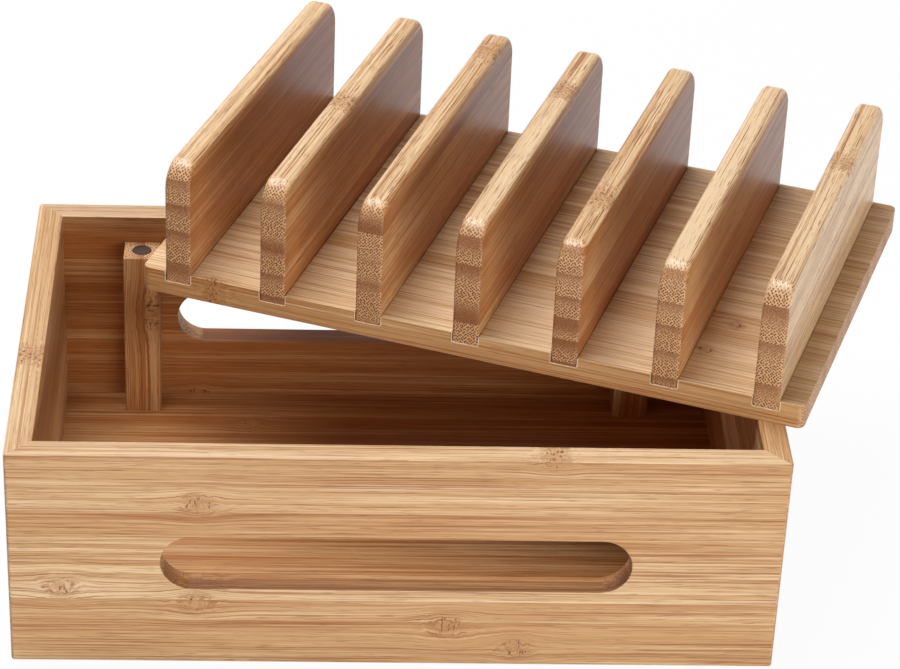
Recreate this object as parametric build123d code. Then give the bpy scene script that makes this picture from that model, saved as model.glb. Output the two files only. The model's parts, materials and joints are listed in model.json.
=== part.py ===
from build123d import *
import os

# Charging station organizer of laminated bamboo: an open mitred box with cable
# slots, and a loose lid that carries seven upright dividers. Lengths are in
# millimetres. +X runs along the box, +Y to its back, +Z up, and the origin is
# the middle of the box's underside.

# Box
box_length = 300.0
box_depth = 190.0
box_height = 97.0
wall_thickness = 10.5
corner_round = 1.5
rim_round = 0.6
rabbet_width = 4.0
floor_thickness = 8.0
floor_gap = 0.1

# Cable slots: long ones in the front and back walls, a short one in the right wall
slot_length = 182.5
side_slot_length = 100.0
slot_height = 24.4
slot_middle_height = 47.8
slot_rim_round = 0.4

# Corner posts that hold the lid up by its magnets
post_width = 15.0
post_depth = 14.0
post_inset = 26.0
post_edge_round = 0.5
magnet_diameter = 8.0
magnet_thickness = 3.0
magnet_edge_bevel = 0.3
magnet_gap = 0.1

# Lid plate and dividers
lid_thickness = 10.5
lid_gap = 1.0
lid_recess = 1.5
lid_corner_round = 3.0
lid_edge_round = 0.7
divider_count = 7
divider_thickness = 10.8
divider_inset = 15.5
divider_rise = 49.5
divider_end_round = 9.5
divider_edge_round = 1.5
groove_depth = 4.5
groove_gap = 0.05

# Where the loose lid lies on the rim
lid_place_x = 56.0
lid_place_y = 56.4
lid_turn_degrees = -20.6

# How far a cutter runs past what it cuts
overrun = 2.0

inner_length = box_length - 2 * wall_thickness
inner_depth = box_depth - 2 * wall_thickness
lid_length = inner_length - 2 * lid_gap
lid_depth = inner_depth - 2 * lid_gap
post_top = box_height - lid_recess - lid_thickness
magnet_x = inner_length / 2 - post_inset - post_width / 2
magnet_y = inner_depth / 2 - post_depth / 2
divider_pitch = (lid_length - 2 * divider_inset) / (divider_count - 1)

standing = (Align.CENTER, Align.CENTER, Align.MIN)
hanging = (Align.CENTER, Align.CENTER, Align.MAX)

corner_signs = {
    "front_left": (-1, -1),
    "front_right": (1, -1),
    "back_right": (1, 1),
    "back_left": (-1, 1),
}


def edges_in_plane(shape, axis, place):
    """The edges that lie flat in the plane across the axis at the place."""
    return [
        edge
        for edge in shape.edges()
        if all(
            abs(end - place) < rim_round / 10
            for end in (
                getattr(edge.bounding_box().min, axis),
                getattr(edge.bounding_box().max, axis),
            )
        )
    ]


def slot_rims(shape, axis, place):
    """The edges of a slot's mouth in one face of a wall."""
    low = slot_middle_height - slot_height / 2 - rim_round
    high = slot_middle_height + slot_height / 2 + rim_round
    return [
        edge
        for edge in edges_in_plane(shape, axis, place)
        if edge.bounding_box().min.Z > low and edge.bounding_box().max.Z < high
    ]


def wall_ring():
    """The four walls as one ring, before the mitres part them."""
    ring = extrude(RectangleRounded(box_length, box_depth, corner_round), box_height)
    ring -= Box(inner_length, inner_depth, box_height, align=standing)
    ring = fillet(edges_in_plane(ring, "Z", box_height), rim_round)
    outer_foot = [
        edge
        for edge in edges_in_plane(ring, "Z", 0)
        if abs(edge.center().X) > inner_length / 2 or abs(edge.center().Y) > inner_depth / 2
    ]
    ring = fillet(outer_foot, rim_round)
    ring -= Box(
        inner_length + 2 * rabbet_width,
        inner_depth + 2 * rabbet_width,
        floor_thickness,
        align=standing,
    )
    long_slot = extrude(
        Plane.XZ * Pos(0, slot_middle_height) * SlotOverall(slot_length, slot_height),
        box_depth / 2 + overrun,
        both=True,
    )
    side_slot = extrude(
        Plane.YZ * Pos(0, slot_middle_height) * SlotOverall(side_slot_length, slot_height),
        box_length / 2 + overrun,
    )
    ring -= long_slot
    ring -= side_slot
    for place in (-box_depth / 2, -inner_depth / 2, inner_depth / 2, box_depth / 2):
        ring = fillet(slot_rims(ring, "Y", place), slot_rim_round)
    for place in (inner_length / 2, box_length / 2):
        ring = fillet(slot_rims(ring, "X", place), slot_rim_round)
    return ring


def mitre_wedge(first, second):
    """The block that holds one wall, cut at 45 degrees at both its ends."""
    def outer(corner):
        sign_x, sign_y = corner_signs[corner]
        return (sign_x * (box_length / 2 + overrun), sign_y * (box_depth / 2 + overrun))

    def inner(corner):
        sign_x, sign_y = corner_signs[corner]
        return (sign_x * (inner_length / 2 - overrun), sign_y * (inner_depth / 2 - overrun))

    outline = Polyline(outer(first), outer(second), inner(second), inner(first), close=True)
    return extrude(make_face(outline), box_height)


def floor_panel():
    """The floor board, let into the rabbet flush with the walls' feet."""
    length = inner_length + 2 * rabbet_width - 2 * floor_gap
    depth = inner_depth + 2 * rabbet_width - 2 * floor_gap
    return Box(length, depth, floor_thickness, align=standing)


def magnet_hole():
    """The blind hole that a magnet is pressed into."""
    return Cylinder(magnet_diameter / 2 + magnet_gap, magnet_thickness, align=hanging)


def magnet_disc():
    """A magnet, its face up and flush with the wood."""
    disc = Cylinder(magnet_diameter / 2, magnet_thickness, align=hanging)
    return chamfer(disc.edges().group_by(Axis.Z)[-1], magnet_edge_bevel)


def post():
    """A square post with a magnet hole in its top, about its own axis."""
    stick = Box(post_width, post_depth, post_top - floor_thickness, align=hanging)
    stick = fillet(stick.edges().group_by(Axis.Z)[-1], post_edge_round)
    return stick - magnet_hole()


def divider():
    """One upright board, rounded at its two top corners, its foot at zero."""
    height = divider_rise + groove_depth
    board = Box(divider_thickness, lid_depth, height, align=standing)
    corners = [
        edge
        for edge in board.edges().filter_by(Axis.X)
        if edge.center().Z > height / 2
    ]
    board = fillet(corners, divider_end_round)
    arrises = [
        edge
        for edge in board.edges().group_by(Axis.X)[0] + board.edges().group_by(Axis.X)[-1]
        if edge.center().Z > 0 and edge.bounding_box().max.Z > 0
    ]
    return fillet(arrises, divider_edge_round)


def divider_places():
    """The middle of each divider along the lid."""
    first = -divider_pitch * (divider_count - 1) / 2
    return [first + divider_pitch * index for index in range(divider_count)]


def lid_plate():
    """The lid's plate, with a groove for each divider and its magnet holes."""
    plate = extrude(RectangleRounded(lid_length, lid_depth, lid_corner_round), lid_thickness)
    plate = fillet(
        plate.edges().group_by(Axis.Z)[0] + plate.edges().group_by(Axis.Z)[-1],
        lid_edge_round,
    )
    groove = Box(
        divider_thickness + 2 * groove_gap,
        lid_depth + 2 * overrun,
        groove_depth + overrun,
        align=standing,
    )
    for place in divider_places():
        plate -= Pos(place, 0, lid_thickness - groove_depth) * groove
    for sign_x, sign_y in corner_signs.values():
        plate -= Pos(sign_x * magnet_x, sign_y * magnet_y, 0) * Rot(180, 0, 0) * magnet_hole()
    return plate


pieces = {}

ring = wall_ring()
pieces["front_wall"] = ring & mitre_wedge("front_left", "front_right")
pieces["right_wall"] = ring & mitre_wedge("front_right", "back_right")
pieces["back_wall"] = ring & mitre_wedge("back_right", "back_left")
pieces["left_wall"] = ring & mitre_wedge("back_left", "front_left")
pieces["floor_panel"] = floor_panel()

for corner, (sign_x, sign_y) in corner_signs.items():
    place = Pos(sign_x * magnet_x, sign_y * magnet_y, post_top)
    pieces["post_" + corner] = place * post()
    pieces["post_magnet_" + corner] = place * magnet_disc()

lid_on_rim = Pos(lid_place_x, lid_place_y, box_height) * Rot(0, 0, lid_turn_degrees)
pieces["lid_plate"] = lid_on_rim * lid_plate()
for number, place in enumerate(divider_places(), start=1):
    seat = Pos(place, 0, lid_thickness - groove_depth)
    pieces["divider_" + str(number)] = lid_on_rim * seat * divider()
for corner, (sign_x, sign_y) in corner_signs.items():
    seat = Pos(sign_x * magnet_x, sign_y * magnet_y, 0) * Rot(180, 0, 0)
    pieces["lid_magnet_" + corner] = lid_on_rim * seat * magnet_disc()

os.makedirs("parts", exist_ok=True)
for name, piece in pieces.items():
    export_step(piece, "parts/" + name + ".step")
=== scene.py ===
import bpy
import json
import math

from mathutils import Matrix, Vector


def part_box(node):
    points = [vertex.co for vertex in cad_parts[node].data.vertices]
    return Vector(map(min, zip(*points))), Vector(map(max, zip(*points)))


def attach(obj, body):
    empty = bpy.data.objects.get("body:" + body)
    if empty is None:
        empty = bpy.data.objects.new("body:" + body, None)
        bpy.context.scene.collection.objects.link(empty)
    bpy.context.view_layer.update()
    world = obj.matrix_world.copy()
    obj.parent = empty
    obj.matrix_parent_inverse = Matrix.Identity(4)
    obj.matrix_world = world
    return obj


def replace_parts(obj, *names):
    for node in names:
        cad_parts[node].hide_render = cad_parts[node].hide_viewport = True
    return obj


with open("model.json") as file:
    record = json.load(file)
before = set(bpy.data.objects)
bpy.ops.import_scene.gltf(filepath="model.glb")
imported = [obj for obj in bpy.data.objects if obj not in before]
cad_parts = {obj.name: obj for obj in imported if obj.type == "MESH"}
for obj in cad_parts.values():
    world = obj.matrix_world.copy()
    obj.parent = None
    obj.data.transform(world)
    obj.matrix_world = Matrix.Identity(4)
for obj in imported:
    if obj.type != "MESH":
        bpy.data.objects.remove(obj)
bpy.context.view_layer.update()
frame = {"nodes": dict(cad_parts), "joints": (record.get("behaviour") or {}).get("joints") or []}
nodes = frame["nodes"]


# Walls of the box.
# Four boards of laminated bamboo, mitred and glued at the corners. Each board is
# glued up from strips side by side, sanded, and finished with satin lacquer.
MILLIMETRE = 0.001


def feed(tree, made, feeds):
    """Feed a shader node's inputs, each with a socket or a value."""
    for place, source in feeds.items():
        if isinstance(source, bpy.types.NodeSocket):
            tree.links.new(source, made.inputs[place])
        else:
            made.inputs[place].default_value = source


def add(tree, kind, feeds=None, **settings):
    """Add a shader node, set its options, and feed its inputs."""
    made = tree.nodes.new("ShaderNode" + kind)
    for name, value in settings.items():
        setattr(made, name, value)
    feed(tree, made, feeds or {})
    return made


def reckon(tree, operation, *feeds):
    """One step of arithmetic between sockets or numbers."""
    return add(tree, "Math", dict(enumerate(feeds)), operation=operation).outputs[0]


def reckon_vector(tree, operation, first, second):
    """One step of arithmetic between two vectors."""
    return add(tree, "VectorMath", {0: first, 1: second}, operation=operation).outputs[0]


def split(tree, vector):
    """The three numbers of a vector."""
    return add(tree, "SeparateXYZ", {0: vector}).outputs


def turned(tree, vector, angles):
    """A vector turned by three angles."""
    feeds = {"Vector": vector, "Rotation": angles}
    return add(tree, "VectorRotate", feeds, rotation_type="EULER_XYZ").outputs[0]


def fade(tree, value, low, high, bottom=0.0, top=1.0):
    """A soft step from bottom to top while the value goes from low to high."""
    feeds = {0: value, 1: low, 2: high, 3: bottom, 4: top}
    return add(tree, "MapRange", feeds, interpolation_type="SMOOTHSTEP").outputs[0]


def bell(tree, value, width):
    """A bell curve over the value, one at zero."""
    ratio = reckon(tree, "DIVIDE", value, width)
    square = reckon(tree, "MULTIPLY", ratio, ratio)
    return reckon(tree, "EXPONENT", reckon(tree, "MULTIPLY", square, -1.0))


def sway(tree, level, noise, share):
    """The level, moved up and down by a share of a noise about its middle."""
    return reckon(tree, "MULTIPLY_ADD", reckon(tree, "SUBTRACT", noise, 0.5), share, level)


def paint(red, green, blue):
    """A colour as the eye reads it, from 0 to 255, as the shader's own values."""
    def straight(level):
        level /= 255
        return level / 12.92 if level <= 0.04045 else ((level + 0.055) / 1.055) ** 2.4

    return (straight(red), straight(green), straight(blue), 1.0)


def tint(tree, share, first, second):
    """Two colours mixed by a share."""
    feeds = {0: share, 6: first, 7: second}
    return add(tree, "Mix", feeds, data_type="RGBA").outputs[2]


def noise(tree, place, waves, detail):
    """Plain noise, so many waves to a unit of the place."""
    feeds = {"Vector": place, "Scale": waves, "Detail": detail}
    return add(tree, "TexNoise", feeds, noise_dimensions="3D").outputs[0]


def grain_noise(tree, place, along, across, detail, roughness):
    """Noise drawn out along the fibres: waves per millimetre along and across."""
    stretch = add(tree, "Mapping", {"Vector": place, "Scale": (along, across, across)})
    feeds = {"Vector": stretch.outputs[0], "Scale": 1.0, "Detail": detail, "Roughness": roughness}
    return add(tree, "TexNoise", feeds, noise_dimensions="3D").outputs[0]


def group_ends(name, sockets_in, sockets_out):
    """A node group with its inputs and outputs, ready to be filled."""
    tree = bpy.data.node_groups.new(name, "ShaderNodeTree")
    for label, kind in sockets_in:
        tree.interface.new_socket(label, in_out="INPUT", socket_type="NodeSocket" + kind)
    for label, kind in sockets_out:
        tree.interface.new_socket(label, in_out="OUTPUT", socket_type="NodeSocket" + kind)
    return tree, tree.nodes.new("NodeGroupInput").outputs, tree.nodes.new("NodeGroupOutput").inputs


# A knuckle of the bamboo stem, sawn through. The fibres bow round it, short cracks cross
# its core, and its lengths and widths are in knuckle sizes
BOW_LENGTH, BOW_WIDTH, BOW_PULL = 2.6, 1.6, -0.62
CORE_LENGTH, CORE_WIDTH = 1.05, 0.85
RUFFLE_WAVES, RUFFLE_DETAIL, RUFFLE_DEPTH = 0.3, 3.0, 3.6


def hump(tree, apart, size, length, width):
    """A hump about a knuckle's centre, one at its top."""
    along = bell(tree, apart[0], reckon(tree, "MULTIPLY", size, length))
    across = bell(tree, apart[1], reckon(tree, "MULTIPLY", size, width))
    return reckon(tree, "MULTIPLY", along, across)


knuckle_tree, given, result = group_ends(
    "knuckle",
    [("Place", "Vector"), ("Mark", "Float"), ("Centre", "Vector"), ("Size", "Float")],
    [("Place", "Vector"), ("Mark", "Float")],
)
tree = knuckle_tree
apart = split(tree, reckon_vector(tree, "SUBTRACT", given["Place"], given["Centre"]))
bow = hump(tree, apart, given["Size"], BOW_LENGTH, BOW_WIDTH)
core = hump(tree, apart, given["Size"], CORE_LENGTH, CORE_WIDTH)
pull = reckon(tree, "MULTIPLY", reckon(tree, "MULTIPLY", bow, BOW_PULL), apart[1])
ruffle = sway(tree, 0.0, noise(tree, given["Place"], RUFFLE_WAVES, RUFFLE_DETAIL), RUFFLE_DEPTH)
shift = reckon(tree, "MULTIPLY_ADD", ruffle, bow, pull)
shift = add(tree, "CombineXYZ", {1: shift}).outputs[0]
tree.links.new(reckon_vector(tree, "ADD", given["Place"], shift), result["Place"])
tree.links.new(reckon(tree, "MAXIMUM", given["Mark"], core), result["Mark"])


# Laminated bamboo. Place is in millimetres, x along the fibres and y across the strips
PALE = paint(228, 194, 150)
HONEY = paint(201, 156, 104)
TOFFEE = paint(170, 105, 50)
FIBRE = paint(128, 66, 26)
REDDISH = paint(150, 82, 38)
GLUE = paint(138, 78, 36)
END_PALE = paint(212, 165, 116)
END_TAN = paint(160, 105, 62)
PORE = paint(98, 46, 8)
KNUCKLE = paint(182, 128, 76)
CRACK = paint(104, 54, 20)

# How uneven the strips are, and how far apart in the stem two strips or two seeds are
STRIP_UNEVENNESS = 0.55
STRIP_SHIFT, SEED_STRIPS, SEED_SHIFT = (310.0, 270.0, 190.0), 7.31, 531.0

# How many strips face the other way, how ripe they are, and from where on they are dense
FLIPPED_SHARE = 0.2
LEAST_RIPE, RIPENESS_SPREAD = -0.30, 0.55
DENSE_LEVELS = (0.25, 1.05)

# Fibre bundles, wide apart near the stem's inner side and close near its skin. A
# bundle's dot or line fades between two distances, in pitches
WIDE_PITCH, WIDE_UNEVENNESS = 1.02, 0.42
CLOSE_PITCH, CLOSE_UNEVENNESS = 0.74, 0.5
WIDE_DOT, CLOSE_DOT = (0.25, 0.45), (0.18, 0.44)
WIDE_LINE, CLOSE_LINE = (0.1, 0.24), (0.08, 0.34)

# The wide ones show in all grain, and by so much more where it is sparse. The close ones
# show where it is dense
WIDE_DOT_LEAST, WIDE_DOT_MORE, CLOSE_DOT_MOST = 0.4, 0.6, 0.9
WIDE_LINE_LEAST, WIDE_LINE_MORE, CLOSE_LINE_MOST = 0.6, 0.4, 0.7

# How the bundles wander: waves per millimetre and millimetres
WANDER_WAVES, WANDER = (0.011, 0.045, 0.045), (0.0, 3.6, 3.6)

# Noises of the grain: waves per millimetre along and across, detail and roughness
BROAD = (0.0045, 0.16, 3.0, 0.55)
MEDIUM = (0.008, 0.75, 3.0, 0.6)
FINE = (0.016, 2.6, 2.0, 0.6)
DASHES = (0.10, 2.6, 1.0, 0.5)
HEAVY = (0.0055, 1.35, 3.0, 0.62)
CREASES = (0.05, 1.5, 2.0, 0.6)
CRACKS = (0.85, 0.62, 3.0, 0.65)

# How much each noise sways the tone, and at which tones the ground colours change
STRIP_SWAY, BROAD_SWAY, MEDIUM_SWAY, FINE_SWAY, SKIN_SWAY = 0.40, 1.0, 1.5, 1.0, 0.25
HONEY_TONES, TOFFEE_TONES = (0.0, 0.55), (0.5, 1.15)

# End grain is deeper where it is dense, and varies from strip to strip. A face shows end
# grain or counts as a long edge by how squarely it is turned that way
END_LIGHTEST, END_DENSE, END_STRIP_SWAY, END_SWAY, END_MIDDLE = -0.45, 0.8, 0.35, 0.6, 0.35
END_LEVELS, EDGE_LEVELS = (0.3, 0.8), (0.3, 0.9)

# Between which levels of its noise each mark appears, and how strong it is at most
DASH_LEVELS, DASH_SHARE = (0.60, 0.70), 0.6
HEAVY_LEVELS = (0.57, 0.61)
CREASE_LEVELS, CREASE_SHARE = (0.52, 0.6), 0.5
CROWDED_SWAY, CROWDED_LEVELS, CROWDED_SHARES = 0.9, (0.40, 0.66), (0.08, 1.0)
HAZE_LEVELS, HAZE_SHARES = (0.3, 0.62), (0.25, 0.80)
CRACK_LEVELS, CRACK_SHARE = (0.57, 0.60), 0.9
DOT_SHARE = 0.97

# Where a knuckle's mark counts as near it, as off its core and as in its core
NEAR_MARKS, CORE_MARKS = (0.02, 0.12), (0.20, 0.5)
OFF_CORE_MARKS, OFF_CORE_SHARES = (0.35, 0.6), (1.0, 0.3)

# Glue lines, by their distance from a seam in millimetres
GLUE_GAPS, GLUE_SHARES = (0.06, 0.26), (0.34, 0.0)

# Roughness of the smoothest grain, and what end grain and fine grain add to it
SMOOTHEST, END_ROUGHER, GRAIN_ROUGHER = 0.29, 0.26, 0.22

# How far lines and cracks sink, and how far a knuckle swells, in depths of the grain
LINE_SINK, CRACK_SINK, KNUCKLE_SWELL = -0.5, -1.6, 2.5

bamboo_tree, given, result = group_ends(
    "laminated_bamboo",
    [
        ("Straight", "Vector"),
        ("Place", "Vector"),
        ("Mark", "Float"),
        ("End", "Float"),
        ("Strip", "Float"),
        ("Seed", "Float"),
        ("Tone", "Float"),
        ("Lines", "Float"),
        ("Streaks", "Float"),
    ],
    [("Color", "Color"), ("Roughness", "Float"), ("Height", "Float")],
)
tree = bamboo_tree
strip_place = reckon(tree, "DIVIDE", split(tree, given["Straight"])[1], given["Strip"])
strip_place = reckon(tree, "ADD", strip_place, reckon(tree, "MULTIPLY", given["Seed"], SEED_STRIPS))
feeds = {"W": strip_place, "Scale": 1.0, "Randomness": STRIP_UNEVENNESS}
strips = add(tree, "TexVoronoi", feeds, voronoi_dimensions="1D").outputs
seams = add(tree, "TexVoronoi", feeds, voronoi_dimensions="1D", feature="DISTANCE_TO_EDGE").outputs
seam_gap = reckon(tree, "MULTIPLY", seams["Distance"], given["Strip"])
strip_random = add(tree, "SeparateColor", {0: strips["Color"]}).outputs

# The stem's skin side is dense and brown, its inner side pale with wide apart bundles
flip = reckon(tree, "GREATER_THAN", strip_random[2], FLIPPED_SHARE)
flip = reckon(tree, "MULTIPLY_ADD", flip, 2.0, -1.0)
skin = reckon(tree, "MULTIPLY_ADD", reckon(tree, "SUBTRACT", strip_place, strips["W"]), flip, 0.5)
ripeness = reckon(tree, "MULTIPLY_ADD", strip_random[1], RIPENESS_SPREAD, LEAST_RIPE)
dense = fade(tree, reckon(tree, "ADD", skin, ripeness), *DENSE_LEVELS)
sparse = reckon(tree, "SUBTRACT", 1.0, dense)

# Each strip comes from its own place in the stem
strip_shift = reckon_vector(tree, "MULTIPLY", strips["Color"], STRIP_SHIFT)
own = reckon_vector(tree, "ADD", given["Place"], strip_shift)
seed_shift = reckon(tree, "MULTIPLY", given["Seed"], SEED_SHIFT)
seed_shift = add(tree, "CombineXYZ", {0: seed_shift, 1: seed_shift, 2: seed_shift}).outputs[0]
own = reckon_vector(tree, "ADD", own, seed_shift)

# Fibre bundles, staggered like bricks: dots in end grain, long thin lines along the board
stretch = add(tree, "Mapping", {"Vector": own, "Scale": WANDER_WAVES}).outputs[0]
wander = add(tree, "TexNoise", {"Vector": stretch, "Scale": 1.0, "Detail": 2.0}).outputs[1]
wander = reckon_vector(tree, "SUBTRACT", wander, (0.5, 0.5, 0.5))
wander = reckon_vector(tree, "MULTIPLY", wander, WANDER)
bundle_place = reckon_vector(tree, "ADD", own, wander)
feeds = {"Vector": bundle_place, "Axis": (1.0, 0.0, 0.0), "Angle": math.radians(45)}
apart = split(tree, add(tree, "VectorRotate", feeds).outputs[0])
crossways = add(tree, "CombineXYZ", {0: apart[1], 1: apart[2]}).outputs[0]


def bundle_gap(tree, place, pitch, unevenness):
    """How far a place is from the nearest fibre bundle, in pitches."""
    feeds = {"Vector": place, "Scale": 1 / pitch, "Randomness": unevenness}
    return add(tree, "TexVoronoi", feeds, voronoi_dimensions="2D").outputs["Distance"]


def within(tree, gap, fading, share):
    """A share inside a bundle, falling to zero at its outer edge."""
    return reckon(tree, "MULTIPLY", fade(tree, gap, *fading, 1.0, 0.0), share)


wide_gap = bundle_gap(tree, crossways, WIDE_PITCH, WIDE_UNEVENNESS)
close_gap = bundle_gap(tree, crossways, CLOSE_PITCH, CLOSE_UNEVENNESS)
wide_share = reckon(tree, "MULTIPLY_ADD", sparse, WIDE_DOT_MORE, WIDE_DOT_LEAST)
close_share = reckon(tree, "MULTIPLY", dense, CLOSE_DOT_MOST)
wide_dots = within(tree, wide_gap, WIDE_DOT, wide_share)
close_dots = within(tree, close_gap, CLOSE_DOT, close_share)
dots = reckon(tree, "MAXIMUM", wide_dots, close_dots)

wide_share = reckon(tree, "MULTIPLY_ADD", sparse, WIDE_LINE_MORE, WIDE_LINE_LEAST)
close_share = reckon(tree, "MULTIPLY", dense, CLOSE_LINE_MOST)
wide_lines = within(tree, wide_gap, WIDE_LINE, wide_share)
close_lines = within(tree, close_gap, CLOSE_LINE, close_share)
lines = reckon(tree, "MAXIMUM", wide_lines, close_lines)

# Long grain: the ground colour, then its fibres, brown streaks, creases and short dashes
broad = grain_noise(tree, own, *BROAD)
medium = grain_noise(tree, own, *MEDIUM)
fine = grain_noise(tree, own, *FINE)
tone = reckon(tree, "MULTIPLY_ADD", strip_random[0], STRIP_SWAY, given["Tone"])
tone = sway(tree, tone, broad, BROAD_SWAY)
tone = sway(tree, tone, medium, MEDIUM_SWAY)
tone = sway(tree, tone, fine, FINE_SWAY)
tone = sway(tree, tone, skin, SKIN_SWAY)
long_colour = tint(tree, fade(tree, tone, *HONEY_TONES), PALE, HONEY)
long_colour = tint(tree, fade(tree, tone, *TOFFEE_TONES), long_colour, TOFFEE)

near_knuckle = fade(tree, given["Mark"], *NEAR_MARKS)
off_core = fade(tree, given["Mark"], *OFF_CORE_MARKS, *OFF_CORE_SHARES)
round_knuckle = reckon(tree, "MULTIPLY", near_knuckle, off_core)
crowded = sway(tree, medium, broad, CROWDED_SWAY)
crowded = fade(tree, crowded, *CROWDED_LEVELS, *CROWDED_SHARES)
line_share = reckon(tree, "MULTIPLY", lines, reckon(tree, "MAXIMUM", crowded, round_knuckle))
line_share = reckon(tree, "MULTIPLY", line_share, given["Lines"])
long_colour = tint(tree, line_share, long_colour, FIBRE)

heavy = fade(tree, grain_noise(tree, own, *HEAVY), *HEAVY_LEVELS)
long_colour = tint(tree, reckon(tree, "MULTIPLY", heavy, given["Streaks"]), long_colour, REDDISH)

creases = fade(tree, grain_noise(tree, own, *CREASES), *CREASE_LEVELS)
creases = reckon(tree, "MULTIPLY", creases, round_knuckle)
crease_share = reckon(tree, "MULTIPLY", creases, CREASE_SHARE)
long_colour = tint(tree, crease_share, long_colour, REDDISH)

dashes = fade(tree, grain_noise(tree, own, *DASHES), *DASH_LEVELS)
dash_share = reckon(tree, "MULTIPLY", given["Lines"], DASH_SHARE)
dash_share = reckon(tree, "MULTIPLY", dashes, dash_share)
long_colour = tint(tree, dash_share, long_colour, FIBRE)

# End grain
end_tone = reckon(tree, "MULTIPLY_ADD", dense, END_DENSE, END_LIGHTEST)
end_tone = reckon(tree, "MULTIPLY_ADD", strip_random[0], END_STRIP_SWAY, end_tone)
end_tone = sway(tree, end_tone, medium, END_SWAY)
end_contrast = reckon(tree, "MINIMUM", given["Lines"], 1.0)
end_tone = reckon(tree, "MULTIPLY_ADD", end_tone, end_contrast, END_MIDDLE)
end_colour = tint(tree, fade(tree, end_tone, 0.0, 1.0), END_PALE, END_TAN)
end_colour = tint(tree, reckon(tree, "MULTIPLY", dots, DOT_SHARE), end_colour, PORE)
end_share = fade(tree, given["End"], *END_LEVELS)
colour = tint(tree, end_share, long_colour, end_colour)

# Glue lines, and the knuckles with their cracks
colour = tint(tree, fade(tree, seam_gap, *GLUE_GAPS, *GLUE_SHARES), colour, GLUE)
crossed = grain_noise(tree, given["Place"], *CRACKS)
haze = reckon(tree, "MULTIPLY", given["Mark"], fade(tree, crossed, *HAZE_LEVELS, *HAZE_SHARES))
colour = tint(tree, haze, colour, KNUCKLE)
in_core = fade(tree, given["Mark"], *CORE_MARKS)
crack = reckon(tree, "MULTIPLY", in_core, fade(tree, crossed, *CRACK_LEVELS))
colour = tint(tree, reckon(tree, "MULTIPLY", crack, CRACK_SHARE), colour, CRACK)

# The relief of the grain, and how rough it is
height = reckon(tree, "MULTIPLY_ADD", lines, LINE_SINK, fine)
height = reckon(tree, "MULTIPLY_ADD", crack, CRACK_SINK, height)
swell = reckon(tree, "MULTIPLY", crossed, given["Mark"])
height = reckon(tree, "MULTIPLY_ADD", swell, KNUCKLE_SWELL, height)
roughness = reckon(tree, "MULTIPLY_ADD", end_share, END_ROUGHER, SMOOTHEST)
roughness = reckon(tree, "MULTIPLY_ADD", fine, GRAIN_ROUGHER, roughness)
tree.links.new(colour, result["Color"])
tree.links.new(roughness, result["Roughness"])
tree.links.new(height, result["Height"])

# Satin lacquer over the grain, and how deep the grain shows through it
LACQUER = {"Specular IOR Level": 0.38, "Coat Weight": 0.25, "Coat Roughness": 0.38}
GRAIN_STRENGTH, GRAIN_DEPTH = 0.35, 0.00012


def new_material(name):
    """A new material, its node tree and its shader."""
    material = bpy.data.materials.new(name)
    material.use_nodes = True
    return material, material.node_tree, material.node_tree.nodes["Principled BSDF"]


def bamboo(
    name, turn, strip, seed, tone, edge, lines, streaks, knuckles=(),
    cut=0.0, edge_from=None, seat=(0.0, 0.0, 0.0), swing=0.0,
):
    """Bamboo for one board. Turn lays the board's fibres along x and its strips across y,
    strip is a strip's width in millimetres, and seed picks the stem it comes from.
    Tone is how deep its faces are, and where a board stands in shade it also holds
    painted shade. Edge is how much deeper its long edges are: painted shade where they
    lie in shade, and painted light where it is below zero, on rims and tops lit from
    above. Where edge_from is given, that goes for the edges past that place across the
    board, and cut goes for the faces of a slot before it, as painted shade or, below
    zero, painted light. Lines and streaks say how strong its fibres and brown streaks
    are, and a knuckle has its place along and across, and its size.
    Seat and swing say where the board's own middle is and how it lies."""
    material, tree, shader = new_material(name)
    read = add(tree, "TexCoord").outputs
    feeds = {"Vector": read["Object"], "Location": seat, "Rotation": (0.0, 0.0, swing)}
    feeds["Scale"] = (MILLIMETRE, MILLIMETRE, MILLIMETRE)
    board = add(tree, "Mapping", feeds, vector_type="TEXTURE").outputs[0]
    laid = turned(tree, board, turn)
    facing = split(tree, turned(tree, turned(tree, read["Normal"], (0.0, 0.0, -swing)), turn))

    # Painted light and shade: faces turned along the strips (rims, tops, slot faces, the lid's long
    # edges) are made deeper where they lie in shade and lighter where lit from above
    painted_edge_shade = edge
    if edge_from is not None:
        past = reckon(tree, "GREATER_THAN", split(tree, laid)[1], edge_from)
        painted_edge_shade = reckon(tree, "MULTIPLY_ADD", past, edge - cut, cut)
    on_edge = fade(tree, reckon(tree, "ABSOLUTE", facing[1]), *EDGE_LEVELS)
    tone = reckon(tree, "MULTIPLY_ADD", on_edge, painted_edge_shade, tone)

    place, mark = laid, 0.0
    for along, across, size in knuckles:
        feeds = {"Place": place, "Mark": mark, "Centre": (along, across, 0.0), "Size": size}
        knuckle = add(tree, "Group", feeds, node_tree=knuckle_tree).outputs
        place, mark = knuckle["Place"], knuckle["Mark"]

    end = reckon(tree, "ABSOLUTE", facing[0])
    feeds = {"Straight": laid, "Place": place, "Mark": mark, "End": end}
    feeds.update({"Strip": strip, "Seed": seed, "Tone": tone, "Lines": lines, "Streaks": streaks})
    wood = add(tree, "Group", feeds, node_tree=bamboo_tree).outputs
    feeds = {"Height": wood["Height"], "Strength": GRAIN_STRENGTH, "Distance": GRAIN_DEPTH}
    bump = add(tree, "Bump", feeds).outputs[0]
    feed(tree, shader, {"Base Color": wood["Color"], "Roughness": wood["Roughness"], "Normal": bump})
    feed(tree, shader, LACQUER)
    return material


# How a board lies: turns that lay its fibres along x and its strips across y
QUARTER = math.pi / 2
FLAT_ALONG_X = (0.0, 0.0, 0.0)
UPRIGHT_ALONG_X = (-QUARTER, 0.0, 0.0)
UPRIGHT_ALONG_Y = (-QUARTER, -QUARTER, 0.0)
ON_END = (QUARTER, 0.0, QUARTER)

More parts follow.
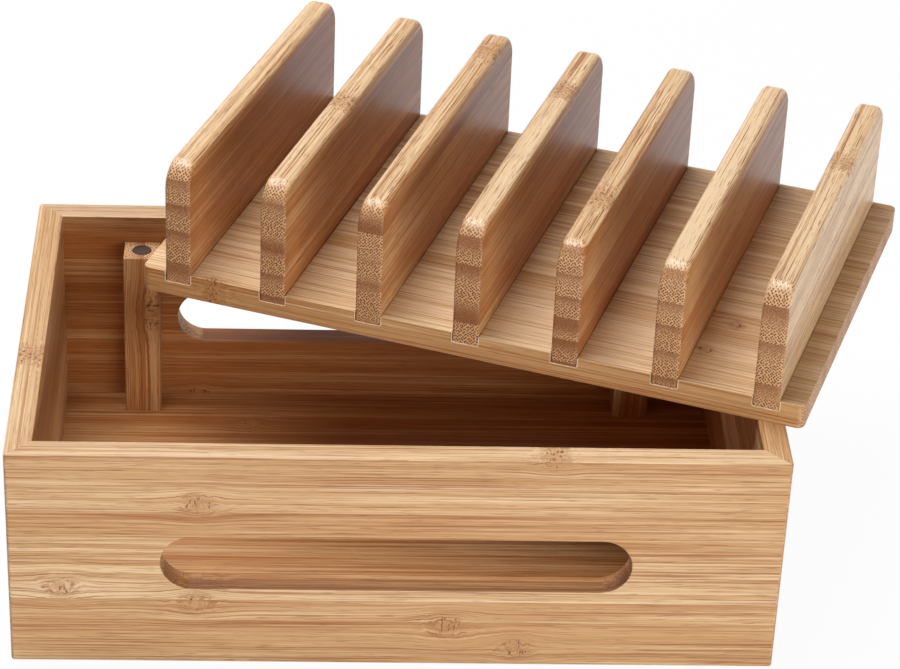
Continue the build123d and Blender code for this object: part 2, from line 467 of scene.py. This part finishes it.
WALL_THICKNESS, CORNER_ROUND, RIM_ROUND = 0.0105, 0.0015, 0.0006
RABBET_WIDTH, RABBET_HEIGHT = 0.004, 0.008
SLOT_LENGTH, SIDE_SLOT_LENGTH = 0.1825, 0.100
SLOT_HEIGHT, SLOT_MIDDLE, SLOT_EASING = 0.0244, 0.0478, 0.0004

# How far a cutter runs past what it cuts, and how nearly a slot's end is a half circle
SPARE = 0.004
HALF_ROUND_SHARE = 0.998

# How many flats make up each round, and at what angle shading breaks
CORNER_FLATS, RIM_FLATS, EASING_FLATS, HALF_ROUND_FLATS = 6, 3, 2, 20
SHARP = math.radians(50)

# Points this near a plane lie in it, and points this near each other are one
IN_PLANE, AT_ONE = RIM_ROUND / 20, RIM_ROUND / 500


def cube(name, low, high):
    """A new block between two corners, alone in the selection."""
    bpy.ops.object.select_all(action="DESELECT")
    middle = [(a + b) / 2 for a, b in zip(low, high)]
    bpy.ops.mesh.primitive_cube_add(size=1.0, location=middle, scale=[b - a for a, b in zip(low, high)])
    made = bpy.context.object
    made.name = made.data.name = name
    bpy.ops.object.transform_apply(location=True, rotation=True, scale=True)
    return made


def alone(piece):
    """Make the piece the one that is selected and active."""
    bpy.ops.object.select_all(action="DESELECT")
    piece.select_set(True)
    bpy.context.view_layer.objects.active = piece


def pick_all(piece):
    """Select the whole mesh of the piece, and leave the piece in edit mode."""
    alone(piece)
    bpy.ops.object.mode_set(mode="EDIT")
    bpy.ops.mesh.select_all(action="SELECT")


def pick_edges(piece, wanted):
    """Select the edges whose two ends both satisfy a test, and leave the piece in edit mode."""
    alone(piece)
    bpy.ops.object.mode_set(mode="EDIT")
    bpy.ops.mesh.select_mode(type="EDGE")
    bpy.ops.mesh.select_all(action="DESELECT")
    bpy.ops.object.mode_set(mode="OBJECT")
    points = piece.data.vertices
    for edge in piece.data.edges:
        first, second = (points[index].co for index in edge.vertices)
        edge.select = wanted(first, second)
    bpy.ops.object.mode_set(mode="EDIT")


def round_edges(piece, wanted, width, flats):
    """Round the edges that satisfy a test."""
    pick_edges(piece, wanted)
    bpy.ops.mesh.bevel(offset=width, segments=flats, profile=0.5)
    bpy.ops.object.mode_set(mode="OBJECT")


def cut_away(piece, cutter, operation="DIFFERENCE"):
    """Cut the cutter's shape out of the piece, or all but it, and take the cutter away."""
    alone(piece)
    bpy.ops.object.modifier_add(type="BOOLEAN")
    cut = piece.modifiers[-1]
    cut.operation = operation
    cut.solver = "MANIFOLD"
    cut.object = cutter
    bpy.ops.object.modifier_apply(modifier=cut.name)
    piece.data.materials.clear()
    bpy.data.objects.remove(cutter)


def even_shading(piece):
    """Shade the rounds smooth and keep the flats flat."""
    alone(piece)
    bpy.ops.object.shade_smooth_by_angle(angle=SHARP)
    bpy.ops.object.modifier_add(type="WEIGHTED_NORMAL")
    piece.modifiers[-1].keep_sharp = True
    bpy.ops.object.modifier_apply(modifier=piece.modifiers[-1].name)


def duplicate(pattern, name):
    """A copy of a piece with a mesh of its own."""
    made = pattern.copy()
    made.data = pattern.data.copy()
    made.name = made.data.name = name
    bpy.context.scene.collection.objects.link(made)
    return made


def slot_cutter(length, wall_span, along_x):
    """A long block with half-round ends that cuts a slot through the walls it spans."""
    half, rise = length / 2, SLOT_HEIGHT / 2
    low_span, high_span = wall_span
    low = (-half, low_span) if along_x else (low_span, -half)
    high = (half, high_span) if along_x else (high_span, half)
    made = cube("slot_cutter", (*low, SLOT_MIDDLE - rise), (*high, SLOT_MIDDLE + rise))
    through = 1 if along_x else 0

    def runs_through(first, second):
        return abs(first[through] - second[through]) > WALL_THICKNESS

    round_edges(made, runs_through, rise * HALF_ROUND_SHARE, HALF_ROUND_FLATS)
    return made


# All four walls are cut from one shell, so that they meet
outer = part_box("right_wall")[1].x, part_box("back_wall")[1].y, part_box("back_wall")[1].z
inner = outer[0] - WALL_THICKNESS, outer[1] - WALL_THICKNESS
foot = inner[0] + RABBET_WIDTH, inner[1] + RABBET_WIDTH
shell = cube("box_shell", (-outer[0], -outer[1], 0.0), outer)
round_edges(
    shell, lambda first, second: abs(first.z - second.z) > SPARE, CORNER_ROUND, CORNER_FLATS
)
cut_away(shell, cube("hollow", (-inner[0], -inner[1], -SPARE), (*inner, outer[2] + SPARE)))
cut_away(shell, cube("rabbet", (-foot[0], -foot[1], -SPARE), (*foot, RABBET_HEIGHT)))
cut_away(shell, slot_cutter(SLOT_LENGTH, (-outer[1] - SPARE, outer[1] + SPARE), True))
cut_away(shell, slot_cutter(SIDE_SLOT_LENGTH, (0.0, outer[0] + SPARE), False))


def flat_at(first, second, axis, place):
    """Whether both ends of an edge lie in a plane across an axis."""
    return abs(first[axis] - place) < IN_PLANE and abs(second[axis] - place) < IN_PLANE


def on_rim(first, second):
    """Whether an edge is on the box's rim."""
    return flat_at(first, second, 2, outer[2])


def on_outer_foot(first, second):
    """Whether an edge is at the foot of the box's outer faces, not in the rabbet."""
    middle, margin = (first + second) / 2, SPARE / 4
    outside = abs(middle.x) > foot[0] + margin or abs(middle.y) > foot[1] + margin
    return outside and flat_at(first, second, 2, 0.0)


def on_slot_mouth(first, second):
    """Whether an edge is part of a slot's mouth."""
    rise = SLOT_HEIGHT / 2 + SPARE / 8
    lowest, highest = min(first.z, second.z), max(first.z, second.z)
    if not (SLOT_MIDDLE - rise < lowest and highest < SLOT_MIDDLE + rise):
        return False
    planes = [(1, sign * face[1]) for sign in (-1, 1) for face in (outer, inner)]
    planes += [(0, outer[0]), (0, inner[0])]
    return any(flat_at(first, second, axis, place) for axis, place in planes)


round_edges(shell, on_rim, RIM_ROUND, RIM_FLATS)
round_edges(shell, on_outer_foot, RIM_ROUND, RIM_FLATS)
round_edges(shell, on_slot_mouth, SLOT_EASING, EASING_FLATS)


def mitred_wall(name, first_corner, second_corner, finish):
    """One wall out of the shell, parted at 45 degrees at its two corners."""
    wall = duplicate(shell, name)
    spared = [reach + SPARE for reach in outer]
    wedge = cube("mitre_wedge", [-reach for reach in spared], spared)
    middle = Vector((*first_corner, 0.0)).lerp(Vector((*second_corner, 0.0)), 0.5)
    for corner in (first_corner, second_corner):
        across = Vector((corner[1] / outer[1], -corner[0] / outer[0], 0.0)).normalized()
        keep = Vector((*corner, 0.0))
        if across.dot(middle - keep) < 0:
            across = -across
        pick_all(wedge)
        bpy.ops.mesh.bisect(plane_co=keep, plane_no=across, use_fill=True, clear_inner=True)
        bpy.ops.object.mode_set(mode="OBJECT")
    cut_away(wall, wedge, "INTERSECT")
    pick_all(wall)
    bpy.ops.mesh.remove_doubles(threshold=AT_ONE)
    bpy.ops.object.mode_set(mode="OBJECT")
    even_shading(wall)
    wall.data.materials.append(finish)
    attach(wall, "box")
    return wall


# Knuckles have their places along and across the board in millimetres, and their sizes.
# Above the slots, a wall's long edge is its rim
WALL_STRIP, RIM_FROM = 13.0, 60.0
front_knuckles = (
    (-76.6, 75.3, 4.5),
    (-129.6, 35.8, 4.5),
    (-77.6, 28.7, 4.5),
    (20.5, 18.7, 5.0),
    (48.0, 8.2, 4.5),
    (59.0, 97.0, 3.5),
)
back_knuckles = ((-83.0, 9.0, 3.5),)
left_knuckles = ((-24.6, 97.0, 5.0),)

# Each wall's edge is painted light that lightens its rim, lit from above. Its cut is painted shade that
# deepens the faces of its slot, which lie in shade, or painted light where it is below zero
front_finish = bamboo(
    "front_wall_bamboo", UPRIGHT_ALONG_X, WALL_STRIP, seed=0.19, tone=0.25, edge=-0.35,
    lines=0.8, streaks=0.7, knuckles=front_knuckles, cut=0.62, edge_from=RIM_FROM,
)
# The back wall's deep tone is painted shade, because its inner face lies in shade under the lid. Its
# rim is lightened all the more as painted light
back_finish = bamboo(
    "back_wall_bamboo", UPRIGHT_ALONG_X, WALL_STRIP, seed=0.57, tone=0.75, edge=-1.0,
    lines=0.8, streaks=0.5, knuckles=back_knuckles, cut=-0.2, edge_from=RIM_FROM,
)
left_finish = bamboo(
    "left_wall_bamboo", UPRIGHT_ALONG_Y, WALL_STRIP, seed=0.31, tone=0.32, edge=0.08,
    lines=0.7, streaks=0.5, knuckles=left_knuckles, edge_from=RIM_FROM,
)
right_finish = bamboo(
    "right_wall_bamboo", UPRIGHT_ALONG_Y, WALL_STRIP, seed=0.77, tone=0.35, edge=-0.35,
    lines=0.75, streaks=0.6, cut=0.5, edge_from=RIM_FROM,
)
left, right, front, back = -outer[0], outer[0], -outer[1], outer[1]
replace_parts(mitred_wall("front_board", (left, front), (right, front), front_finish), "front_wall")
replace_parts(mitred_wall("back_board", (right, back), (left, back), back_finish), "back_wall")
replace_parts(mitred_wall("left_board", (left, back), (left, front), left_finish), "left_wall")
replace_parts(mitred_wall("right_board", (right, front), (right, back), right_finish), "right_wall")
bpy.data.objects.remove(shell)


# Floor panel.
# One flat board of the same bamboo, its strips running along the box. It is let into a
# rabbet round the feet of the walls, and its top shows inside.
FLOOR_STRIP = 14.0
floor_knuckles = ((-58.3, 61.9, 4.0), (51.8, -53.2, 4.5))


def dress(node, material):
    """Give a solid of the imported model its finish."""
    piece = nodes[node]
    piece.data.materials.clear()
    piece.data.materials.append(material)


floor_finish = bamboo(
    "floor_bamboo", FLAT_ALONG_X, FLOOR_STRIP, seed=0.42, tone=0.6, edge=0.0,
    lines=0.7, streaks=0.4, knuckles=floor_knuckles,
)
dress("floor_panel", floor_finish)


# Corner posts.
# Four square sticks of the same bamboo, stood on end near the corners and glued to the
# front and back walls. Each has a magnet let into its top, where the lid comes to rest.
CORNERS = ("front_left", "front_right", "back_right", "back_left")
POST_STRIP = 12.0
FIRST_POST_SEED = 0.30
KNUCKLE_HEIGHT, KNUCKLE_HEIGHT_STEP = 31.0, 9.0
KNUCKLE_ASIDE, POST_KNUCKLE_SIZE = 5.0, 5.5

for number, corner in enumerate(CORNERS):
    low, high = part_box("post_" + corner)
    middle = (low.x + high.x) / 2 / MILLIMETRE
    knuckle_place = (KNUCKLE_HEIGHT + number * KNUCKLE_HEIGHT_STEP, middle + KNUCKLE_ASIDE)
    post_finish = bamboo(
        "post_bamboo_" + corner, ON_END, POST_STRIP, seed=FIRST_POST_SEED + number / 7, tone=0.6,
        edge=0.0, lines=1.0, streaks=1.0, knuckles=((*knuckle_place, POST_KNUCKLE_SIZE),),
    )
    dress("post_" + corner, post_finish)


# Magnets.
# Round ferrite discs, dark grey-brown, pressed flush into the post tops and into the
# underside of the lid over them. Their faces are ground, with a dull sintered grain.
MAGNET_FACE = paint(90, 68, 56)
MAGNET_SPECK = paint(62, 44, 36)
SPECK_WAVES, SPECK_DETAIL, SPECK_LEVELS = 1800.0, 3.0, (0.35, 0.62)
PATCH_WAVES, PATCH_DETAIL, PATCH_LEVELS = 420.0, 2.0, (0.3, 0.7)
PATCH_SHADES, PATCH_ROUGHNESS = (0.55, 1.0), (0.42, 0.58)
MAGNET_METAL, SPECK_STRENGTH, SPECK_DEPTH = 0.35, 0.3, 0.00005

magnet, tree, shader = new_material("magnet_ferrite")
read = add(tree, "TexCoord").outputs
specks = noise(tree, read["Object"], SPECK_WAVES, SPECK_DETAIL)
patches = noise(tree, read["Object"], PATCH_WAVES, PATCH_DETAIL)
shade = fade(tree, patches, *PATCH_LEVELS, *PATCH_SHADES)
shade = reckon(tree, "MULTIPLY", fade(tree, specks, *SPECK_LEVELS), shade)
feeds = {"Height": specks, "Strength": SPECK_STRENGTH, "Distance": SPECK_DEPTH}
bump = add(tree, "Bump", feeds).outputs[0]
rough = fade(tree, patches, *PATCH_LEVELS, *PATCH_ROUGHNESS)
feed(tree, shader, {"Base Color": tint(tree, shade, MAGNET_SPECK, MAGNET_FACE), "Roughness": rough})
feed(tree, shader, {"Metallic": MAGNET_METAL, "Normal": bump})
for corner in CORNERS:
    dress("post_magnet_" + corner, magnet)
    dress("lid_magnet_" + corner, magnet)


# Lid plate.
# One glued-up board that drops into the box. A dado is routed right across it for
# each divider, and all its edges are eased. Here it lies askew on the rim.
LID_LENGTH, LID_DEPTH, LID_THICKNESS = 0.277, 0.167, 0.0105
LID_CORNER_ROUND, LID_EDGE_ROUND = 0.0031, 0.00045
DIVIDER_COUNT, DIVIDER_PITCH = 7, 0.041
DADO_WIDTH, DADO_DEPTH, DADO_ROUND = 0.0112, 0.0045, 0.0009
MAGNET_ACROSS, MAGNET_DEEP = 0.0082, 0.003
MAGNET_SPREAD_X, MAGNET_SPREAD_Y = 0.106, 0.0775
LID_CORNER_FLATS, LID_EDGE_FLATS, DADO_FLATS, HOLE_FLATS = 8, 3, 4, 64
LID_STRIP = 15.0

# The easing leaves edges between flats that meet at less than this
EASED = math.radians(40)

plate_low, plate_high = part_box("lid_plate")
lid_seat = ((plate_low.x + plate_high.x) / 2, (plate_low.y + plate_high.y) / 2, plate_low.z)
lid_turn = next(joint for joint in frame["joints"] if joint["name"] == "lid_turn")
lid_swing = -math.radians(lid_turn["range_deg"][1])
half_length, half_depth = LID_LENGTH / 2, LID_DEPTH / 2
dado_floor = LID_THICKNESS - DADO_DEPTH
divider_places = [DIVIDER_PITCH * (index - (DIVIDER_COUNT - 1) / 2) for index in range(DIVIDER_COUNT)]


def soften(piece, width, flats, limit="ANGLE"):
    """Round the piece's edges, and shade it so that flats stay flat."""
    alone(piece)
    bpy.ops.object.modifier_add(type="BEVEL")
    easing = piece.modifiers[-1]
    easing.width = width
    easing.segments = flats
    easing.limit_method = limit
    easing.angle_limit = EASED
    bpy.ops.object.modifier_apply(modifier=easing.name)
    even_shading(piece)


def lay_on_box(piece):
    """Turn a piece made about the lid's own middle to where the lid lies, and let it ride."""
    alone(piece)
    piece.rotation_euler = (0.0, 0.0, lid_swing)
    piece.location = lid_seat
    bpy.ops.object.transform_apply(location=True, rotation=True, scale=True)
    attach(piece, "lid")


def along_dado_foot(first, second):
    """Whether an edge runs along the floor of a dado's cutter."""
    low = max(first.z, second.z) < dado_floor + DADO_ROUND / 2
    return low and abs(first.y - second.y) > SPARE


plate = cube("lid_board", (-half_length, -half_depth, 0.0), (half_length, half_depth, LID_THICKNESS))
round_edges(
    plate,
    lambda first, second: abs(first.z - second.z) > LID_THICKNESS / 2,
    LID_CORNER_ROUND,
    LID_CORNER_FLATS,
)
dado = cube(
    "dado",
    (divider_places[0] - DADO_WIDTH / 2, -half_depth - SPARE, dado_floor),
    (divider_places[0] + DADO_WIDTH / 2, half_depth + SPARE, LID_THICKNESS + SPARE),
)
round_edges(dado, along_dado_foot, DADO_ROUND, DADO_FLATS)
bpy.ops.object.modifier_add(type="ARRAY")
row = dado.modifiers[-1]
row.count = DIVIDER_COUNT
row.use_relative_offset = False
row.use_constant_offset = True
row.constant_offset_displace = (DIVIDER_PITCH, 0.0, 0.0)
bpy.ops.object.modifier_apply(modifier=row.name)
cut_away(plate, dado)
for sign_x, sign_y in ((-1, -1), (1, -1), (1, 1), (-1, 1)):
    bpy.ops.object.select_all(action="DESELECT")
    bpy.ops.mesh.primitive_cylinder_add(
        vertices=HOLE_FLATS,
        radius=MAGNET_ACROSS / 2,
        depth=2 * MAGNET_DEEP,
        location=(sign_x * MAGNET_SPREAD_X, sign_y * MAGNET_SPREAD_Y, 0.0),
    )
    cut_away(plate, bpy.context.object)
soften(plate, LID_EDGE_ROUND, LID_EDGE_FLATS)

lid_knuckles = (
    (98.1, -35.7, 2.6),
    (91.8, -58.4, 2.6),
    (-107.2, -83.5, 3.0),
    (-12.0, 40.0, 4.0),
)
# The lid's edge value deepens its front and back edge faces as painted shade, because they get less
# light than the box's front
lid_finish = bamboo(
    "lid_bamboo", FLAT_ALONG_X, LID_STRIP, seed=0.66, tone=0.05, edge=0.5,
    lines=0.55, streaks=0.6, knuckles=lid_knuckles, seat=lid_seat, swing=lid_swing,
)
plate.data.materials.append(lid_finish)
lay_on_box(plate)
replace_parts(plate, "lid_plate")


# Dividers.
# Seven upright boards glued into the dados. Each is glued up from strips stacked on
# edge, its top corners are cut round, and its top arrises are sanded over by hand.
DIVIDER_THICKNESS, DIVIDER_RISE, DIVIDER_END_ROUND = 0.0108, 0.0495, 0.0095
TOP_ARRIS_LEFT, TOP_ARRIS_RIGHT, END_ARRIS = 0.0031, 0.0035, 0.0008
DIVIDER_END_FLATS, ARRIS_FLATS = 12, 6
FIRST_DIVIDER_SEED, DIVIDER_SEED_STEP = 0.46, 0.37

divider_height = DIVIDER_RISE + DADO_DEPTH
pattern = cube(
    "divider_pattern",
    (-DIVIDER_THICKNESS / 2, -half_depth, 0.0),
    (DIVIDER_THICKNESS / 2, half_depth, divider_height),
)


def across_top_end(first, second):
    """Whether an edge runs across one of the divider's two top corners."""
    return min(first.z, second.z) > divider_height / 2 and abs(first.x - second.x) > 0


round_edges(pattern, across_top_end, DIVIDER_END_ROUND, DIVIDER_END_FLATS)

# The arrises are widest along the top and run out down the two ends
arris = pattern.data.attributes.new("bevel_weight_edge", "FLOAT", "EDGE")
points = pattern.data.vertices
for edge in pattern.data.edges:
    first, second = (points[index].co for index in edge.vertices)
    if abs(first.x - second.x) > 0 or max(first.z, second.z) == 0:
        continue
    climb = (first.z + second.z) / 2 - (divider_height - DIVIDER_END_ROUND)
    share = min(max(climb / DIVIDER_END_ROUND, 0.0), 1.0)
    top = TOP_ARRIS_LEFT if first.x < 0 else TOP_ARRIS_RIGHT
    arris.data[edge.index].value = (END_ARRIS + (top - END_ARRIS) * share) / TOP_ARRIS_RIGHT
soften(pattern, TOP_ARRIS_RIGHT, ARRIS_FLATS, "WEIGHT")

divider_strips = (12.0, 11.0, 12.0, 12.5, 10.5, 12.0, 17.0)
# Painted light and shade: each divider's tone is deep as painted shade on its sides, which lie in shade
# between the dividers. It is pale on the last divider, whose right side faces the open, lit side. The
# tops get lighter tones of their own as painted light from above
divider_side_shade_tones = (0.75, 0.7, 0.58, 0.62, 0.68, 0.68, 0.1)
divider_top_light_tones = (-0.05, 0.12, 0.05, -0.08, 0.3, -0.12, 0.02)
divider_knuckles = (
    ((46.0, 22.0, 3.5),),
    ((-6.0, 60.0, 4.5),),
    ((61.5, 60.0, 5.0),),
    ((39.2, 60.0, 4.5), (-40.0, 26.0, 3.5)),
    ((-42.2, 60.0, 5.0),),
    ((12.0, 30.0, 3.5),),
    ((23.8, 60.0, 4.5),),
)
for index, place in enumerate(divider_places):
    number = str(index + 1)
    board = duplicate(pattern, "divider_board_" + number)
    board.data.transform(Matrix.Translation((place, 0.0, dado_floor)))
    # Sides in painted shade, tops in painted light
    divider_finish = bamboo(
        "divider_bamboo_" + number, UPRIGHT_ALONG_Y, divider_strips[index],
        seed=FIRST_DIVIDER_SEED + index * DIVIDER_SEED_STEP, tone=divider_side_shade_tones[index],
        edge=divider_top_light_tones[index] - divider_side_shade_tones[index], lines=1.3, streaks=0.65,
        knuckles=divider_knuckles[index], seat=lid_seat, swing=lid_swing,
    )
    board.data.materials.append(divider_finish)
    lay_on_box(board)
    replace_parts(board, "divider_" + number)
bpy.data.objects.remove(pattern)


# Glue lines.
# Where each divider's foot ends in the edge of the plate, the glue pressed out of the
# dado was wiped off and left a fine pale bead down one side, across and up the other.
BEAD_THICKNESS, BEAD_FINENESS, BEAD_CORNER_FLATS = 0.00045, 3, 5
BEAD_COLOUR = paint(238, 214, 184)
BEAD_DULL = paint(214, 178, 138)
BEAD_WAVES, BEAD_DETAIL = 900.0, 2.0
DULL_LEVELS, GLOSS_LEVELS, BEAD_ROUGHNESS = (0.35, 0.65), (0.3, 0.7), (0.3, 0.5)

bead_finish, tree, shader = new_material("dried_glue")
patches = noise(tree, add(tree, "TexCoord").outputs["Object"], BEAD_WAVES, BEAD_DETAIL)
hue = tint(tree, fade(tree, patches, *DULL_LEVELS), BEAD_DULL, BEAD_COLOUR)
rough = fade(tree, patches, *GLOSS_LEVELS, *BEAD_ROUGHNESS)
feed(tree, shader, {"Base Color": hue, "Roughness": rough})

bead_middle = LID_THICKNESS - DADO_DEPTH / 2


def glue_bead(place, face):
    """A bead round one end of a dado, in the face of the plate's edge."""
    bpy.ops.object.select_all(action="DESELECT")
    bpy.ops.mesh.primitive_plane_add(
        size=1.0,
        location=(place, face, bead_middle),
        rotation=(QUARTER, 0.0, 0.0),
    )
    bead = bpy.context.object
    bead.scale = (DADO_WIDTH, DADO_DEPTH, 1.0)
    bpy.ops.object.transform_apply(location=True, rotation=True, scale=True)
    pick_edges(bead, lambda first, second: min(first.z, second.z) > bead_middle)
    bpy.ops.mesh.delete(type="EDGE_FACE")
    bpy.ops.mesh.select_mode(type="VERT")
    bpy.ops.mesh.select_all(action="DESELECT")
    bpy.ops.object.mode_set(mode="OBJECT")
    for point in bead.data.vertices:
        point.select = point.co.z < bead_middle
    bpy.ops.object.mode_set(mode="EDIT")
    bpy.ops.mesh.bevel(offset=DADO_ROUND, segments=BEAD_CORNER_FLATS, affect="VERTICES")
    bpy.ops.object.mode_set(mode="OBJECT")
    bpy.ops.object.convert(target="CURVE")
    bead.data.bevel_depth = BEAD_THICKNESS / 2
    bead.data.bevel_resolution = BEAD_FINENESS
    bead.data.use_fill_caps = True
    bpy.ops.object.convert(target="MESH")
    pick_all(bead)
    bpy.ops.mesh.remove_doubles(threshold=BEAD_THICKNESS / 100)
    bpy.ops.mesh.normals_make_consistent(inside=False)
    bpy.ops.object.mode_set(mode="OBJECT")
    bpy.ops.object.shade_smooth_by_angle(angle=SHARP)
    return bead


for index, place in enumerate(divider_places):
    front_bead, back_bead = glue_bead(place, -half_depth), glue_bead(place, half_depth)
    alone(front_bead)
    back_bead.select_set(True)
    bpy.ops.object.join()
    front_bead.name = front_bead.data.name = "glue_line_" + str(index + 1)
    front_bead.data.materials.append(bead_finish)
    lay_on_box(front_bead)


# Photographer's table.
# A sheet of pale paper under the box, white surroundings, a large soft lamp overhead and
# a low one in front. The paper and the surroundings look white to the camera.
FLOOR_SIZE, FLOOR_WHITENESS = 12.0, 0.96
PAPER = (0.8, 0.8, 0.8, 1.0)
WHITE = (1.0, 1.0, 1.0, 1.0)

# How high in the surroundings their light changes, and from what level to what level
DOME_CLIMB, DOME_LIGHT = (0.05, 0.45), (0.36, 0.06)
MIRRORED_CLIMB, MIRRORED_LIGHT = (0.1, 0.45), (1.0, 0.35)

bpy.ops.object.select_all(action="DESELECT")
bpy.ops.mesh.primitive_plane_add(size=FLOOR_SIZE)
floor = bpy.context.object
floor.name = "floor"
paper, tree, shader = new_material("floor_paper")
feed(tree, shader, {"Base Color": PAPER, "Roughness": 0.9, "Specular IOR Level": 0.2})
glow = add(tree, "Emission", {"Color": WHITE, "Strength": 1.0})
path = add(tree, "LightPath").outputs
seen = reckon(tree, "MULTIPLY", path["Is Camera Ray"], FLOOR_WHITENESS)
share = reckon(tree, "MAXIMUM", seen, path["Is Glossy Ray"])
mixed = add(tree, "MixShader", {0: share, 1: shader.outputs[0], 2: glow.outputs[0]})
tree.links.new(mixed.outputs[0], tree.nodes["Material Output"].inputs["Surface"])
floor.data.materials.append(paper)

world = bpy.data.worlds.new("studio")
bpy.context.scene.world = world
world.use_nodes = True
tree = world.node_tree
path = add(tree, "LightPath").outputs
seen = reckon(tree, "MAXIMUM", path["Is Camera Ray"], path["Is Transmission Ray"])
climb = split(tree, add(tree, "TexCoord").outputs["Generated"])[2]
dome = fade(tree, climb, *DOME_CLIMB, *DOME_LIGHT)
mirrored = fade(tree, climb, *MIRRORED_CLIMB, *MIRRORED_LIGHT)
mirrored = reckon(tree, "MULTIPLY", path["Is Glossy Ray"], mirrored)
level = reckon(tree, "MAXIMUM", seen, reckon(tree, "MAXIMUM", dome, mirrored))
feed(tree, tree.nodes["Background"], {"Color": WHITE, "Strength": level})

# Where the lamps stand, their sizes, power and colours
LAMPS_AIM = (0.0, 0.0, 0.05)
OVERHEAD_PLACE, OVERHEAD_SIZE, OVERHEAD_WATTS = (-0.4, 0.3, 1.6), (1.2, 1.2), 34.5
OVERHEAD_COLOUR = (0.97, 1.0, 1.07)
FRONT_PLACE, FRONT_SIZE, FRONT_WATTS = (0.9, -1.7, 0.27), (1.5, 0.5), 25.5
FRONT_COLOUR = (1.0, 1.0, 1.02)


def lamp(name, place, size, watts, colour):
    """A soft box lamp that looks at the box."""
    data = bpy.data.lights.new(name, "AREA")
    data.shape = "RECTANGLE"
    data.size, data.size_y = size
    data.energy = watts
    data.color = colour
    made = bpy.data.objects.new(name, data)
    bpy.context.scene.collection.objects.link(made)
    made.location = place
    made.rotation_mode = "QUATERNION"
    made.rotation_quaternion = (Vector(LAMPS_AIM) - Vector(place)).to_track_quat("-Z", "Y")


lamp("overhead_lamp", OVERHEAD_PLACE, OVERHEAD_SIZE, OVERHEAD_WATTS, OVERHEAD_COLOUR)
lamp("front_lamp", FRONT_PLACE, FRONT_SIZE, FRONT_WATTS, FRONT_COLOUR)


# Camera.
# It stands in front of the box and looks down into it, where the photograph was taken
# from, with a long lens.
CAMERA_PLACE = (-0.0401165, -1.1081734, 0.7925063)
YAW, PITCH, ROLL = math.radians(3.204), math.radians(32.1912), math.radians(2.5207)
FOCAL_PIXELS, PHOTO_WIDTH, SENSOR_WIDTH = 3245.694, 900, 36.0

forward = Vector((math.sin(YAW) * math.cos(PITCH), math.cos(YAW) * math.cos(PITCH), -math.sin(PITCH)))
level_right = Vector((math.cos(YAW), -math.sin(YAW), 0.0))
level_up = level_right.cross(forward)
picture_right = math.cos(ROLL) * level_right + math.sin(ROLL) * level_up
picture_up = -math.sin(ROLL) * level_right + math.cos(ROLL) * level_up
turn = Matrix((picture_right, picture_up, -forward)).transposed().to_4x4()
camera_data = bpy.data.cameras.new("camera")
camera_data.sensor_width = SENSOR_WIDTH
camera_data.lens = FOCAL_PIXELS / PHOTO_WIDTH * SENSOR_WIDTH
camera = bpy.data.objects.new("camera", camera_data)
bpy.context.scene.collection.objects.link(camera)
camera.matrix_world = Matrix.Translation(CAMERA_PLACE) @ turn
bpy.context.scene.camera = camera
bpy.context.scene.view_settings.view_transform = "Standard"
